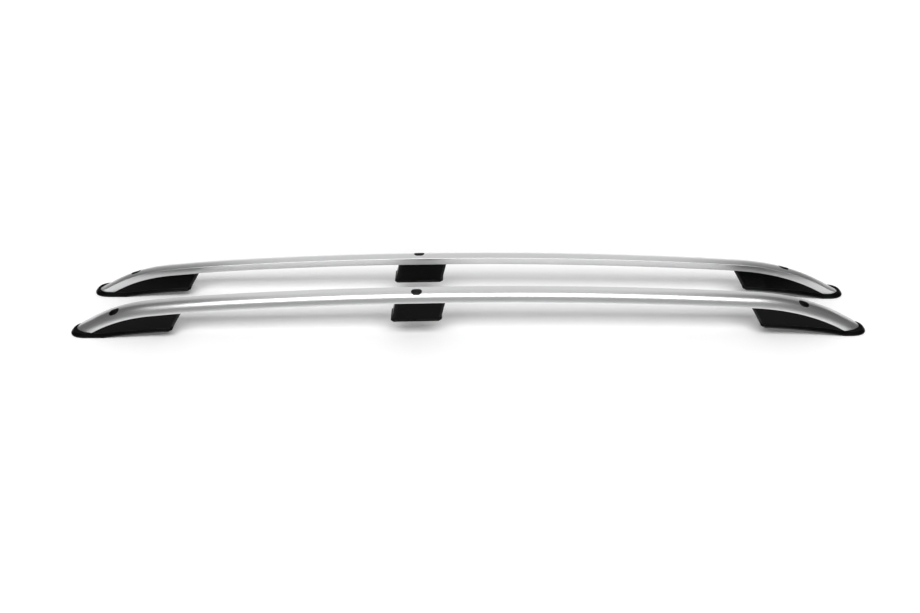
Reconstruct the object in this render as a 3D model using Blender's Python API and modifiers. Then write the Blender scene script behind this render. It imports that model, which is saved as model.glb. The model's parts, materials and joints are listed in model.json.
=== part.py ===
"""Roof side rail pair: two bent aluminium rails for a car roof, each on three moulded feet.

Metres, +Z up, +X towards the rear of the car, and -Y its left side. The origin is on the
floor under the middle of the pair, which stands on the tips of its four end feet. Each rail
is worked out in its own frame, whose X runs along the rail from the crown of its arc and
whose Y points outwards, and both sides are placed from that one shape.
"""

import math

import bmesh
import bpy
from mathutils import Matrix

# How the pair lies
RAIL_SPACING = 0.1376
TOE_ANGLE = math.radians(0.23)

# Side line of the rail's underside, with lengths measured from the crown of the arc
CROWN_HEIGHT = 0.0959
ARC_RADIUS = 8.6
EASE_START = 0.619
EASE_RADIUS = 3.34
FRONT_BEND_START = 0.771
FRONT_BEND_RADIUS = 0.358
REAR_BEND_START = 0.560
REAR_BEND_RADIUS = 0.490
END_SLOPE = math.radians(29.0)

# Hollow section of the rail: flat inner face, low crown, round outer shoulder
RAIL_WIDTH = 0.037
RAIL_FACE_HEIGHT = 0.0172
RAIL_CROWN_RISE = 0.0013
RAIL_SKIRT_DROP = 0.0013
RAIL_CROWN_INSET = 0.0148
RAIL_EDGE_RADIUS = 0.0018
RAIL_FOOT_RADIUS = 0.0007
RAIL_WALL = 0.002

# Bolt ways down through each rail, measured from the crown
FRONT_BOLT = 0.8575
MIDDLE_BOLT = 0.1827
REAR_BOLT = 0.6736
ACCESS_HOLE_LENGTH = 0.024
ACCESS_HOLE_WIDTH = 0.0165
BOLT_HOLE_DIAMETER = 0.009

# Moulded feet
FOOT_WALL = 0.003
FOOT_DRAFT = math.radians(5.5)
FOOT_TUCK = 0.001
CORNER_CUT_LENGTH = 0.007
CORNER_CUT_DEPTH = 0.006
END_FOOT_LEAN = math.radians(29.5)
FRONT_FOOT_LENGTH = 0.1255
REAR_FOOT_LENGTH = 0.0831
MIDDLE_FOOT_LENGTH = 0.110
MIDDLE_FOOT_HEIGHT = 0.048
MIDDLE_FOOT_LEAN = math.radians(13.5)
MIDDLE_FOOT_SHIFT = 0.0025
MIDDLE_LIP = 0.0018
MIDDLE_LIP_HEIGHT = 0.0035
RIB_THICKNESS = 0.0025
BODY_SETBACK = 0.0006
BODY_END_HEIGHT = 0.007
HOLLOW_END_HEIGHT = 0.016
TOP_IN_RAIL = 0.0025

# Shoe that spreads round the tip of each end foot
SHOE_SPREAD = 0.0078
SHOE_RIM_HEIGHT = 0.0038
SHOE_RIM_SETBACK = 0.0036
SHOE_TOP_SPREAD = 0.0012
SHOE_HEIGHT = 0.009
SHOE_END_DRAW = 0.3
NOSE_REACH = 0.015
NOSE_LENGTH = 0.042
RAIL_TIP_LENGTH = 0.030
NOSE_POWER = 2.4
NOSE_END = 0.997

# Roof line that the end feet follow: flat under the tips, then an arc
FRONT_FLAT_LENGTH = 0.079
REAR_FLAT_LENGTH = 0.053
ROOF_RADIUS = 1.2
ROOF_END_SLOPE = math.radians(3.0)

# Gaskets under the end feet
GASKET_THICKNESS = 0.0025
GASKET_SLOT_WIDTH = 0.020
GASKET_SLOT_MARGIN = 0.010
GASKET_SLOT_PAST_BOLT = 0.018

# Steel sleeves and the screws that hold the feet to the rails
SLEEVE_DIAMETER = 0.013
SLEEVE_LIFT = 0.0012
SCREW_DIAMETER = 0.0039
SCREW_HEAD_DIAMETER = 0.0085
SCREW_HEAD_HEIGHT = 0.0028
SCREW_REACH = 0.006
SCREW_FROM_END = 0.026
SCREW_FROM_BOLT = 0.024
MIDDLE_SCREW_FROM_BOLT = 0.030

# Working clearance between pieces, and steps along the curves
GAP = 0.0003
ARC_STEP = 0.075
EASE_STEP = 0.050
BEND_STEP = 0.0155
SHOULDER_STEPS = 9
ROOF_STEPS = 6
BODY_STEPS = 10
LEAN_PASSES = 4
NOSE_STEPS = 7
HOLE_STEPS = 8
SCREW_SIDES = 12
SLEEVE_SIDES = 20
SMOOTH_ANGLE = math.radians(32)
OVERRUN = 0.04

HALF_WIDTH = RAIL_WIDTH / 2
CROWN_LINE = RAIL_FACE_HEIGHT + RAIL_CROWN_RISE
PAD_TOP = GASKET_THICKNESS + GAP


def new_collection(name):
    collection = bpy.data.collections.new(name)
    bpy.context.scene.collection.children.link(collection)
    return collection


def principled(name, colour, roughness, metallic):
    material = bpy.data.materials.new(name)
    material.use_nodes = True
    shader = material.node_tree.nodes["Principled BSDF"]
    shader.inputs["Base Color"].default_value = (*colour, 1.0)
    shader.inputs["Roughness"].default_value = roughness
    shader.inputs["Metallic"].default_value = metallic
    return material


for leftover in list(bpy.data.objects):
    bpy.data.objects.remove(leftover)

PARTS = new_collection("roof_side_rail_pair")
CUTTERS = new_collection("cutters")


# Side line of the rail

def follow(arc, x):
    """Height and sine of the slope at x on one arc, or on a straight of endless radius."""
    start, height, sine, radius = arc
    if math.isinf(radius):
        return height - (x - start) * sine / math.sqrt(1 - sine * sine), sine
    end_sine = sine + (x - start) / radius
    return height - radius * (math.sqrt(1 - sine ** 2) - math.sqrt(1 - end_sine ** 2)), end_sine


def side_arcs(direction):
    """Arcs from the crown outwards to the front (-1) or the rear (+1)."""
    if direction < 0:
        legs = ((EASE_START, ARC_RADIUS, ARC_STEP), (FRONT_BEND_START, EASE_RADIUS, EASE_STEP))
        bend_radius = FRONT_BEND_RADIUS
    else:
        legs = ((REAR_BEND_START, ARC_RADIUS, ARC_STEP),)
        bend_radius = REAR_BEND_RADIUS
    arcs = []
    x, height, sine = 0.0, CROWN_HEIGHT, 0.0
    for end, radius, step in legs:
        arcs.append(((x, height, sine, radius), step))
        height, sine = follow(arcs[-1][0], end)
        x = end
    arcs.append(((x, height, sine, bend_radius), BEND_STEP))
    x += bend_radius * (math.sin(END_SLOPE) - sine)
    height, sine = follow(arcs[-1][0], x)
    arcs.append(((x, height, sine, math.inf), OVERRUN))
    return arcs


def rail_line(x):
    """Height of the underside at x, and its downward slope away from the crown, signed."""
    direction = -1 if x < 0 else 1
    arc = [arc for arc, step in side_arcs(direction) if arc[0] <= abs(x)][-1]
    height, sine = follow(arc, abs(x))
    return height, direction * math.asin(sine)


def straight_reach(direction, height, above=0.0):
    """Distance from the crown where a line above the straight end comes down to a height."""
    start, start_height, sine, _ = side_arcs(direction)[-1][0]
    slope = math.asin(sine)
    return start + (start_height + above / math.cos(slope) - height) / math.tan(slope)


def rail_stations():
    """Points along the underside from past the front tip to past the rear tip."""
    halves = []
    for direction in (-1, 1):
        arcs = side_arcs(direction)
        ends = [arc[0] for arc, step in arcs[1:]]
        ends.append(straight_reach(direction, 0.0, CROWN_LINE) + OVERRUN)
        half = []
        for (arc, step), end in zip(arcs, ends):
            steps = 1 if math.isinf(arc[3]) else max(1, round((end - arc[0]) / step))
            for i in range(1, steps + 1):
                x = arc[0] + (end - arc[0]) * i / steps
                half.append((direction * x, follow(arc, x)[0]))
        halves.append(half)
    return halves[0][::-1] + [(0.0, CROWN_HEIGHT)] + halves[1]


TIP = {d: straight_reach(d, SHOE_HEIGHT + GAP, CROWN_LINE) for d in (-1, 1)}
APEX = {d: TIP[d] + NOSE_REACH for d in (-1, 1)}
BOLT = {-1: FRONT_BOLT, 1: REAR_BOLT}
INNER_END = {-1: FRONT_BOLT - FRONT_FOOT_LENGTH, 1: REAR_BOLT - REAR_FOOT_LENGTH}
FLAT_START = {-1: APEX[-1] - FRONT_FLAT_LENGTH, 1: APEX[1] - REAR_FLAT_LENGTH}
CROWN_X = (APEX[-1] - APEX[1]) / 2


def roof_height(direction, distance):
    """Height of the roof line under an end foot, at a distance from the crown."""
    if distance >= FLAT_START[direction]:
        return 0.0
    first = math.sin(ROOF_END_SLOPE)
    here = first + (distance - INNER_END[direction]) / ROOF_RADIUS
    flat = first + (FLAT_START[direction] - INNER_END[direction]) / ROOF_RADIUS
    return ROOF_RADIUS * (math.sqrt(1 - here ** 2) - math.sqrt(1 - flat ** 2))


def middle_base_height(x):
    """Height of the middle foot's flat base, which lies parallel to the rail above it."""
    height, slope = rail_line(-MIDDLE_BOLT)
    return height - MIDDLE_FOOT_HEIGHT - (x + MIDDLE_BOLT) * math.tan(slope)


# Building blocks

def construction(name, mesh):
    """A working object, kept out of the renders."""
    obj = bpy.data.objects.new(name, mesh)
    CUTTERS.objects.link(obj)
    obj.display_type = "WIRE"
    obj.hide_render = True
    return obj


def boolean(target, tool, operation="DIFFERENCE"):
    modifier = target.modifiers.new(tool.name, "BOOLEAN")
    modifier.operation = operation
    modifier.solver = "EXACT"
    modifier.object = tool


def evaluated_mesh(obj):
    depsgraph = bpy.context.evaluated_depsgraph_get()
    return bpy.data.meshes.new_from_object(obj.evaluated_get(depsgraph))


def welded(mesh):
    bm = bmesh.new()
    bm.from_mesh(mesh)
    bmesh.ops.remove_doubles(bm, verts=bm.verts, dist=0.000001)
    bmesh.ops.recalc_face_normals(bm, faces=bm.faces)
    bm.to_mesh(mesh)
    bm.free()
    return mesh


def outline_curve(name, points):
    curve = bpy.data.curves.new(name, "CURVE")
    curve.dimensions = "2D"
    spline = curve.splines.new("POLY")
    spline.points.add(len(points) - 1)
    for point, (x, y) in zip(spline.points, points):
        point.co = (x, y, 0.0, 1.0)
    spline.use_cyclic_u = True
    return curve


def sweep(name, section, stations):
    """A section of (outward, upward) points swept along the rail's side line, with closed ends."""
    turned_section = [(-outward, upward) for outward, upward in section]
    profile = bpy.data.objects.new(name + "_profile", outline_curve(name + "_profile", turned_section))
    CUTTERS.objects.link(profile)
    path = bpy.data.curves.new(name + "_path", "CURVE")
    path.dimensions = "3D"
    path.twist_mode = "Z_UP"
    path.bevel_mode = "OBJECT"
    path.bevel_object = profile
    path.use_fill_caps = True
    spline = path.splines.new("POLY")
    spline.points.add(len(stations) - 1)
    for point, (x, z) in zip(spline.points, stations):
        point.co = (x, 0.0, z, 1.0)
    rail_path = bpy.data.objects.new(name + "_path", path)
    CUTTERS.objects.link(rail_path)
    mesh = welded(evaluated_mesh(rail_path))
    bpy.data.objects.remove(rail_path)
    bpy.data.objects.remove(profile)
    return construction(name, mesh)


def prism(name, outline, low, high):
    """A flat outline made as thick as the way from low to high."""
    curve = outline_curve(name, outline)
    curve.fill_mode = "BOTH"
    curve.extrude = (high - low) / 2
    source = bpy.data.objects.new(name + "_outline", curve)
    CUTTERS.objects.link(source)
    mesh = welded(evaluated_mesh(source))
    bpy.data.objects.remove(source)
    mesh.transform(Matrix.Translation((0.0, 0.0, (low + high) / 2)))
    return construction(name, mesh)


def turned(name, profile, sides, matrix):
    """A profile of (radius, height) points, top to bottom, turned about an upright axis."""
    mesh = bpy.data.meshes.new(name)
    bm = bmesh.new()
    verts = [bm.verts.new((radius, 0.0, height)) for radius, height in profile]
    for first, second in zip(verts, verts[1:]):
        bm.edges.new((first, second))
    if profile[0][0] > 0:
        bm.edges.new((verts[-1], verts[0]))
    bm.to_mesh(mesh)
    bm.free()
    source = bpy.data.objects.new(name + "_profile", mesh)
    CUTTERS.objects.link(source)
    screw = source.modifiers.new("Turn", "SCREW")
    screw.steps = sides
    screw.render_steps = sides
    screw.use_merge_vertices = True
    screw.merge_threshold = 0.00001
    solid = welded(evaluated_mesh(source))
    bpy.data.objects.remove(source)
    solid.transform(matrix)
    return construction(name, solid)


def layered(name, levels):
    """A solid through stacked outlines; a level lists (x, inner y, outer y, z) stations."""
    count = len(levels[0])
    bm = bmesh.new()
    bmesh.ops.create_grid(bm, x_segments=count - 1, y_segments=1, size=1.0)
    place = bm.verts.layers.int.new("place")
    for vert in bm.verts:
        station = round((vert.co.x + 1.0) / 2 * (count - 1))
        vert[place] = 2 * station + (1 if vert.co.y > 0 else 0)
    sheet = list(bm.faces)
    shift_level(bm.verts, place, levels[0])
    for number, level in enumerate(levels[1:]):
        grown = bmesh.ops.extrude_face_region(bm, geom=sheet)["geom"]
        if number:
            bmesh.ops.delete(bm, geom=sheet, context="FACES_ONLY")
        sheet = [item for item in grown if isinstance(item, bmesh.types.BMFace)]
        shift_level([item for item in grown if isinstance(item, bmesh.types.BMVert)], place, level)
    bmesh.ops.recalc_face_normals(bm, faces=bm.faces)
    mesh = bpy.data.meshes.new(name)
    bm.to_mesh(mesh)
    bm.free()
    return construction(name, mesh)


def shift_level(verts, place, level):
    for vert in verts:
        station, outer = divmod(vert[place], 2)
        x, inner_y, outer_y, z = level[station]
        vert.co = (x, outer_y if outer else inner_y, z)


def obround(centre_x, length, width):
    """Outline of a slot with round ends, along X."""
    radius = width / 2
    reach = length / 2 - radius
    points = []
    for side in (1, -1):
        for i in range(HOLE_STEPS + 1):
            angle = math.pi * i / HOLE_STEPS - math.pi / 2
            points.append((centre_x + side * (reach + radius * math.cos(angle)),
                           side * radius * math.sin(angle)))
    if reach <= 0:
        points = points[:HOLE_STEPS] + points[HOLE_STEPS + 1:-1]
    return points


def band(start, end):
    """Outline of a strip from start to end, wider than a rail."""
    return [(start, -RAIL_WIDTH), (end, -RAIL_WIDTH), (end, RAIL_WIDTH), (start, RAIL_WIDTH)]


def nose_curve(half, length):
    """Points (distance, half width) from straight sides round to the blunt end of a nose."""
    points = [(0.0, half)]
    for i in range(1, NOSE_STEPS + 1):
        reach = NOSE_END * math.sin(math.pi / 2 * i / NOSE_STEPS)
        points.append((length * reach, half * (1 - reach ** NOSE_POWER) ** (1 / NOSE_POWER)))
    return points


# Places along one rail

def bolt_places():
    return (("front", -FRONT_BOLT), ("middle", -MIDDLE_BOLT), ("rear", REAR_BOLT))


def foot_screws(name):
    if name == "middle":
        return (-MIDDLE_BOLT - MIDDLE_SCREW_FROM_BOLT, -MIDDLE_BOLT + MIDDLE_SCREW_FROM_BOLT)
    direction = -1 if name == "front" else 1
    return (direction * (INNER_END[direction] + SCREW_FROM_END),
            direction * (BOLT[direction] - SCREW_FROM_BOLT))


def screw_places():
    return [("%s_screw_%d" % (name, i + 1), x)
            for name, bolt in bolt_places() for i, x in enumerate(foot_screws(name))]


# Rail

def corner(y, z, radius, start, end, steps):
    """Points round a centre; a corner without radius is one point."""
    if radius <= 0:
        return [(y, z)]
    turns = [math.radians(start + (end - start) * i / steps) for i in range(steps + 1)]
    return [(y + radius * math.cos(turn), z + radius * math.sin(turn)) for turn in turns]


def rail_section(inset):
    """Outline of the rail, or of its cavity, with Y outwards and Z above the underside."""
    inner = -HALF_WIDTH + inset
    crown_y = -HALF_WIDTH + RAIL_CROWN_INSET
    wide = HALF_WIDTH - crown_y - inset
    tall = CROWN_LINE + RAIL_SKIRT_DROP - inset
    edge = max(RAIL_EDGE_RADIUS - inset, 0.0)
    foot = max(RAIL_FOOT_RADIUS - inset, 0.0)
    widest = math.acos((inset + foot) / tall)
    points = []
    if foot > 0:
        points.append((crown_y + wide * math.sin(widest) - foot, inset - RAIL_SKIRT_DROP))
    for i in range(SHOULDER_STEPS + 1):
        angle = widest * (1 - i / SHOULDER_STEPS)
        points.append((crown_y + wide * math.sin(angle), tall * math.cos(angle) - RAIL_SKIRT_DROP))
    halfway = CROWN_LINE - inset - RAIL_CROWN_RISE * 0.5 ** 2
    points.append(((crown_y + inner) / 2, halfway))
    points += corner(inner + edge, RAIL_FACE_HEIGHT - inset - edge, edge, 90, 180, 2)
    points += corner(inner + foot, inset + foot, foot, 180, 270, 1)
    return points


def round_tips(target, clearance):
    """Rounds both tips as seen from above, where they sit on their shoes."""
    for direction in (-1, 1):
        start = TIP[direction] - RAIL_TIP_LENGTH
        edge = nose_curve(HALF_WIDTH + clearance, RAIL_TIP_LENGTH + clearance)
        outline = [(start + reach, width) for reach, width in edge]
        outline += [(start + reach, -width) for reach, width in edge[::-1]]
        outline += band(start, TIP[direction] + OVERRUN)
        outline = [(direction * x, y) for x, y in outline]
        tool = prism("%s_tip_%d" % (target.name, direction), outline, -OVERRUN, 2 * OVERRUN)
        boolean(target, tool)


def cut_seats(target, height):
    """Cuts both ends off level, at the height where they sit on their shoes."""
    reach = max(APEX.values()) + 2 * OVERRUN
    boolean(target, prism(target.name + "_seats", band(-reach, reach), height - 3 * OVERRUN, height))


def rail_envelope():
    """The rail's outer form with its working gap, which the feet and sleeves are cut to."""
    envelope = sweep("rail_envelope", rail_section(-GAP), rail_stations())
    cut_seats(envelope, SHOE_HEIGHT - GAP)
    round_tips(envelope, GAP + GAP / 2)
    return envelope


def rail():
    stations = rail_stations()
    body = sweep("rail", rail_section(0.0), stations)
    cut_seats(body, SHOE_HEIGHT)
    round_tips(body, GAP / 2)
    cavity = sweep("rail_cavity", rail_section(RAIL_WALL), stations)
    round_tips(cavity, GAP / 2 - RAIL_WALL)
    boolean(body, cavity)
    for name, x in bolt_places():
        height = rail_line(x)[0]
        middle = height + CROWN_LINE / 2
        access = obround(x, ACCESS_HOLE_LENGTH, ACCESS_HOLE_WIDTH)
        boolean(body, prism(name + "_access", access, middle, middle + RAIL_WIDTH))
        bore = obround(x, BOLT_HOLE_DIAMETER, BOLT_HOLE_DIAMETER)
        boolean(body, prism(name + "_bore", bore, height - RAIL_WIDTH, middle))
    for name, x in screw_places():
        boolean(body, screw_bore(name + "_rail", x))
    return body


# Screws, square to the rail above them

CEILING_DROP = RAIL_SKIRT_DROP + GAP + FOOT_WALL
SCREW_HEAD_TOP = -CEILING_DROP - GAP


def screw_frame(x):
    height, slope = rail_line(x)
    return Matrix.Translation((x, 0.0, height)) @ Matrix.Rotation(slope, 4, "Y")


def screw(name, x):
    shank = SCREW_DIAMETER / 2
    head = SCREW_HEAD_DIAMETER / 2
    tip = RAIL_WALL + SCREW_REACH
    low = SCREW_HEAD_TOP - SCREW_HEAD_HEIGHT
    bevel = SCREW_HEAD_HEIGHT / 2
    profile = [(0.0, tip), (shank / 2, tip), (shank, tip - shank), (shank, SCREW_HEAD_TOP),
               (head, SCREW_HEAD_TOP), (head, low + bevel), (head - bevel, low), (0.0, low)]
    return turned(name, profile, SCREW_SIDES, screw_frame(x))


def screw_bore(name, x):
    radius = SCREW_DIAMETER / 2 + GAP
    top = RAIL_WALL + SCREW_REACH / 2
    profile = [(0.0, top), (radius, top), (radius, SCREW_HEAD_TOP), (0.0, SCREW_HEAD_TOP)]
    return turned(name + "_bore", profile, SCREW_SIDES, screw_frame(x))


# Sleeves round the bolt ways

def sleeve(name, x, base):
    outer = SLEEVE_DIAMETER / 2
    bore = BOLT_HOLE_DIAMETER / 2
    top = rail_line(x)[0] + RAIL_FACE_HEIGHT / 2
    profile = [(outer, top), (outer, base), (bore, base), (bore, top)]
    tube = turned(name, profile, SLEEVE_SIDES, Matrix.Translation((x, 0.0, 0.0)))
    boolean(tube, ENVELOPE)
    return tube


# Feet

def shoe_outline(direction, inset, height):
    """Stations round the base of an end foot, drawn in from its widest outline, at one level."""
    half = HALF_WIDTH + SHOE_SPREAD - inset
    first = INNER_END[direction] - height * math.tan(END_FOOT_LEAN) + inset * SHOE_END_DRAW
    nose = APEX[direction] - NOSE_LENGTH
    places = [(first, half - CORNER_CUT_DEPTH)]
    straight = first + CORNER_CUT_LENGTH
    for i in range(ROOF_STEPS + 1):
        places.append((straight + (FLAT_START[direction] - straight) * i / ROOF_STEPS, half))
    places += [(nose + reach, width) for reach, width in nose_curve(half, NOSE_LENGTH - inset)]
    return [(direction * d, -width, width, roof_height(direction, d) + height) for d, width in places]


def block_ceiling(direction, distance, drop):
    height, slope = rail_line(direction * distance)
    return height - drop / math.cos(slope)


def end_block(name, direction, wall, low, drop, end):
    """Body of an end foot from low above the roof line up to the rail, drawn in by a wall."""
    lean = math.tan(END_FOOT_LEAN)
    inner = INNER_END[direction] + BODY_SETBACK + wall / math.cos(END_FOOT_LEAN)
    foot_level = roof_height(direction, INNER_END[direction])
    base, top = [], []
    for i in range(BODY_STEPS + 2):
        start = inner + (CORNER_CUT_LENGTH if i else 0.0)
        low_d = start + (foot_level - roof_height(direction, start) - low) * lean
        top_d = start
        for _ in range(LEAN_PASSES):
            top_d = start + (foot_level - block_ceiling(direction, top_d, drop)) * lean
        share = max(i - 1, 0) / BODY_STEPS
        low_d += (end - low_d) * share
        top_d += (end - top_d) * share
        low_z = roof_height(direction, low_d) + low
        top_z = block_ceiling(direction, top_d, drop)
        top_half = HALF_WIDTH - FOOT_TUCK - wall - (CORNER_CUT_DEPTH if i == 0 else 0.0)
        low_half = top_half + (top_z - low_z) * math.tan(FOOT_DRAFT)
        base.append((direction * low_d, -low_half, low_half, low_z))
        top.append((direction * top_d, -top_half, top_half, top_z))
    return layered(name, [base, top])


def end_foot(name, direction):
    rim = PAD_TOP + SHOE_RIM_HEIGHT
    foot = layered(name + "_foot", [shoe_outline(direction, 0.0, PAD_TOP),
                                    shoe_outline(direction, SHOE_RIM_SETBACK, rim),
                                    shoe_outline(direction, SHOE_SPREAD - SHOE_TOP_SPREAD, SHOE_HEIGHT)])
    body_end = straight_reach(direction, BODY_END_HEIGHT)
    boolean(foot, end_block(name + "_body", direction, 0.0, rim - 2 * GAP, -TOP_IN_RAIL, body_end), "UNION")
    boolean(foot, ENVELOPE)
    hollow_end = straight_reach(direction, HOLLOW_END_HEIGHT)
    cavity = end_block(name + "_cavity", direction, FOOT_WALL, -SHOE_HEIGHT, CEILING_DROP, hollow_end)
    hollow_foot(foot, name, cavity, direction * BOLT[direction])
    return foot


def middle_outline(inset, height):
    """Stations round the middle foot at one height above its base."""
    centre = -MIDDLE_BOLT - MIDDLE_FOOT_SHIFT + height * math.tan(MIDDLE_FOOT_LEAN)
    half_length = MIDDLE_FOOT_LENGTH / 2 - inset
    flank = half_length - CORNER_CUT_LENGTH
    drop = MIDDLE_FOOT_HEIGHT + TOP_IN_RAIL - height
    half = HALF_WIDTH - FOOT_TUCK - inset + drop * math.tan(FOOT_DRAFT)
    places = [(-half_length, half - CORNER_CUT_DEPTH), (-flank, half),
              (flank, half), (half_length, half - CORNER_CUT_DEPTH)]
    return [(centre + x, -width, width, middle_base_height(centre + x) + height) for x, width in places]


def middle_foot(name):
    top = MIDDLE_FOOT_HEIGHT + TOP_IN_RAIL
    foot = layered(name + "_foot", [middle_outline(-MIDDLE_LIP, 0.0),
                                    middle_outline(-MIDDLE_LIP, MIDDLE_LIP_HEIGHT)])
    body = layered(name + "_body", [middle_outline(0.0, MIDDLE_LIP_HEIGHT / 2), middle_outline(0.0, top)])
    boolean(foot, body, "UNION")
    boolean(foot, ENVELOPE)
    cavity = layered(name + "_cavity", [middle_outline(FOOT_WALL, -MIDDLE_LIP_HEIGHT),
                                        middle_outline(FOOT_WALL, MIDDLE_FOOT_HEIGHT - CEILING_DROP)])
    hollow_foot(foot, name, cavity, -MIDDLE_BOLT)
    return foot


def hollow_foot(foot, name, cavity, bolt):
    """Opens the foot from below, with ribs, a boss round the sleeve and the screw holes."""
    screws = foot_screws(name)
    height = rail_line(bolt)[0]
    boss = SLEEVE_DIAMETER / 2 + GAP + FOOT_WALL
    ribs = [sum(screws) / 2]
    if name == "middle":
        ribs = [bolt - boss - RIB_THICKNESS, bolt + boss + RIB_THICKNESS]
    column = [(0.0, 2 * height), (boss, 2 * height), (boss, -height), (0.0, -height)]
    boolean(cavity, turned(name + "_boss", column, SLEEVE_SIDES, Matrix.Translation((bolt, 0.0, 0.0))))
    for i, x in enumerate(ribs):
        plate = band(x - RIB_THICKNESS / 2, x + RIB_THICKNESS / 2)
        boolean(cavity, prism("%s_rib_%d" % (name, i + 1), plate, -height, 2 * height))
    boolean(foot, cavity)
    seat = SLEEVE_DIAMETER / 2 + GAP
    way = [(0.0, 2 * height), (seat, 2 * height), (seat, -height), (0.0, -height)]
    boolean(foot, turned(name + "_way", way, SLEEVE_SIDES, Matrix.Translation((bolt, 0.0, 0.0))))
    for i, x in enumerate(screws):
        boolean(foot, screw_bore("%s_foot_%d" % (name, i + 1), x))


# Gaskets, each a frame round a long slot

def gasket(name, direction):
    pad = layered(name + "_gasket", [shoe_outline(direction, 0.0, 0.0),
                                     shoe_outline(direction, 0.0, GASKET_THICKNESS)])
    start = INNER_END[direction] + GASKET_SLOT_MARGIN
    end = BOLT[direction] + GASKET_SLOT_PAST_BOLT
    slot = obround(direction * (start + end) / 2, end - start, GASKET_SLOT_WIDTH)
    boolean(pad, prism(name + "_slot", slot, -OVERRUN, 2 * OVERRUN))
    return pad


# Both sides of the pair

def side_empty(label, side):
    empty = bpy.data.objects.new(label + "_side", None)
    empty.location = (CROWN_X, side * RAIL_SPACING / 2, 0.0)
    empty.rotation_euler = (0.0, 0.0, -side * TOE_ANGLE)
    PARTS.objects.link(empty)
    return empty


def place(name, source, material):
    """Makes the right side's piece from a worked-out shape, and the left's as its mirror image."""
    for label, (side, empty) in SIDES.items():
        mesh = evaluated_mesh(source)
        if side < 0:
            mesh.transform(Matrix.Diagonal((1.0, -1.0, 1.0, 1.0)))
            mesh.flip_normals()
        mesh.name = label + "_" + name
        mesh.materials.clear()
        mesh.materials.append(material)
        mesh.shade_smooth()
        mesh.set_sharp_from_angle(angle=SMOOTH_ANGLE)
        piece = bpy.data.objects.new(label + "_" + name, mesh)
        piece.parent = empty
        PARTS.objects.link(piece)


SIDES = {"right": (1, side_empty("right", 1)), "left": (-1, side_empty("left", -1))}

ALUMINIUM = principled("satin_aluminium", (0.72, 0.72, 0.73), 0.34, 1.0)
BLACK_PLASTIC = principled("black_plastic", (0.006, 0.006, 0.006), 0.22, 0.0)
RUBBER = principled("rubber", (0.012, 0.012, 0.012), 0.75, 0.0)
STEEL = principled("zinc_steel", (0.62, 0.62, 0.60), 0.38, 1.0)

ENVELOPE = rail_envelope()

place("rail", rail(), ALUMINIUM)
place("middle_foot", middle_foot("middle"), BLACK_PLASTIC)
for end_name, end_direction in (("front", -1), ("rear", 1)):
    place(end_name + "_foot", end_foot(end_name, end_direction), BLACK_PLASTIC)
    place(end_name + "_gasket", gasket(end_name, end_direction), RUBBER)

SLEEVE_BASE = {
    "front": roof_height(-1, FRONT_BOLT) + PAD_TOP + SLEEVE_LIFT,
    "middle": middle_base_height(-MIDDLE_BOLT) + SLEEVE_LIFT,
    "rear": roof_height(1, REAR_BOLT) + PAD_TOP + SLEEVE_LIFT,
}
for foot_name, bolt_x in bolt_places():
    place(foot_name + "_sleeve", sleeve(foot_name + "_sleeve", bolt_x, SLEEVE_BASE[foot_name]), STEEL)
for screw_name, screw_x in screw_places():
    place(screw_name, screw(screw_name, screw_x), STEEL)
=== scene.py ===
"""Looks of the roof side rail pair: satin anodised rails on black moulded feet, on a pale floor.

Metres, in the part's own frame. Each rail is worked out in a frame of its own, whose X runs along
the rail from the crown of its arc and whose Y points outwards, and is then set on its side.
"""

import json
import math

import bmesh
import bpy
import numpy as np
from mathutils import Matrix, Vector

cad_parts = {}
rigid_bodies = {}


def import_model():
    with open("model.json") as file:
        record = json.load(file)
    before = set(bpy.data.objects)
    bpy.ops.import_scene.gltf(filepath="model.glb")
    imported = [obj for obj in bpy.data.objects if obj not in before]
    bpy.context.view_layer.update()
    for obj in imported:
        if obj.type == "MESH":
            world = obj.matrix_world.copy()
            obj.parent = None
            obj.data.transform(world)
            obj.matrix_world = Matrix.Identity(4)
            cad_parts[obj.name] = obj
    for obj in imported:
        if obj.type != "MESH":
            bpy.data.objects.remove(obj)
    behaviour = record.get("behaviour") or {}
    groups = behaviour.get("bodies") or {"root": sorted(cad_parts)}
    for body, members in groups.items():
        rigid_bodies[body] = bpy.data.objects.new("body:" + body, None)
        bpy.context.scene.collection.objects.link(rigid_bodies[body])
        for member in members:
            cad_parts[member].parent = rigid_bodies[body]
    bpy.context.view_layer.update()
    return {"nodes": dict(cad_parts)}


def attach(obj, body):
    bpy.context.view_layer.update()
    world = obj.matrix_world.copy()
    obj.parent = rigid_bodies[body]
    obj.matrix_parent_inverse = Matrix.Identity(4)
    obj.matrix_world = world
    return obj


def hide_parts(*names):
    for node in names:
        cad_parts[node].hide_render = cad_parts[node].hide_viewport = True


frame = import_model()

# How the pair lies, as in the part
RAIL_SPACING = 0.1376
TOE_ANGLE = math.radians(0.23)
CROWN_X = 0.067946

# Side line of the rail's underside: (distance from the crown, radius from there outwards)
CROWN_HEIGHT = 0.0959
BENDS = {-1: ((0.0, 8.6), (0.619, 3.34), (0.771, 0.358)), 1: ((0.0, 8.6), (0.560, 0.490))}
END_SLOPE = math.radians(29.0)
TRACE_STEP = 0.003

# Hollow section of the rail
RAIL_WIDTH = 0.037
HALF_WIDTH = RAIL_WIDTH / 2
RAIL_FACE_HEIGHT = 0.0172
RAIL_CROWN_RISE = 0.0013
RAIL_SKIRT_DROP = 0.0013
RAIL_CROWN_INSET = 0.0148
SHOULDER_DROP = 0.012
RAIL_EDGE_RADIUS = 0.0018
RAIL_FOOT_RADIUS = 0.0007
RAIL_WALL = 0.002
CROWN_LINE = RAIL_FACE_HEIGHT + RAIL_CROWN_RISE

# Bolt ways, from the crown
BOLT = {-1: 0.8575, 0: -0.1827, 1: 0.6736}
ACCESS_HOLE = (0.024, 0.0165)
BOLT_HOLE_DIAMETER = 0.009

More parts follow.
